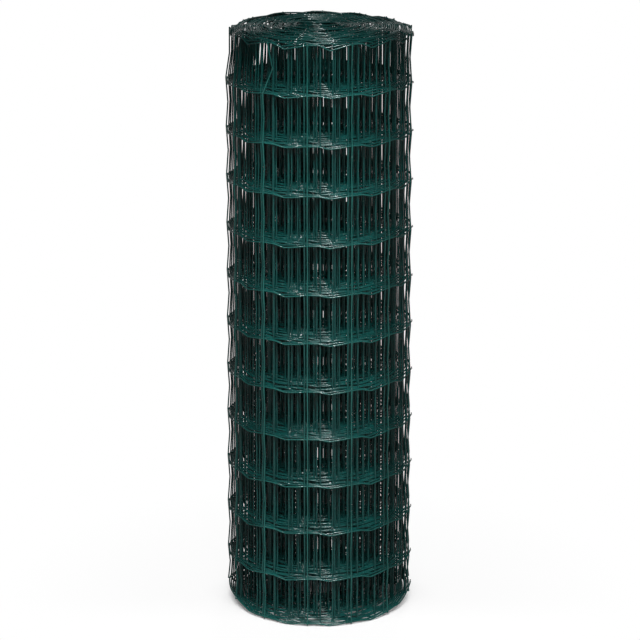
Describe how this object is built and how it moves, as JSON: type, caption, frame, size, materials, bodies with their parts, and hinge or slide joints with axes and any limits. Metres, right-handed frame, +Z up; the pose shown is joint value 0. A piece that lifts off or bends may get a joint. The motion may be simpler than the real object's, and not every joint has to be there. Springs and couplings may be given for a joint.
{
  "type": "wire fencing roll",
  "caption": "Upright roll of green plastic-coated welded wire fencing, its crimped strands and upright wires wound round an open core.",
  "frame": {"origin": "centre of the roll's foot, on the surface it stands on", "axes": "+Z up along the roll, -Y to the front, +X to the fence's free edge"},
  "size_m": [0.289, 0.2873, 0.915],
  "materials": {
    "coated_wire": "satin plastic coat over steel wire"
  },
  "bodies": {
    "root": {"mesh_roll": "coated_wire"}
  },
  "joints": []
}
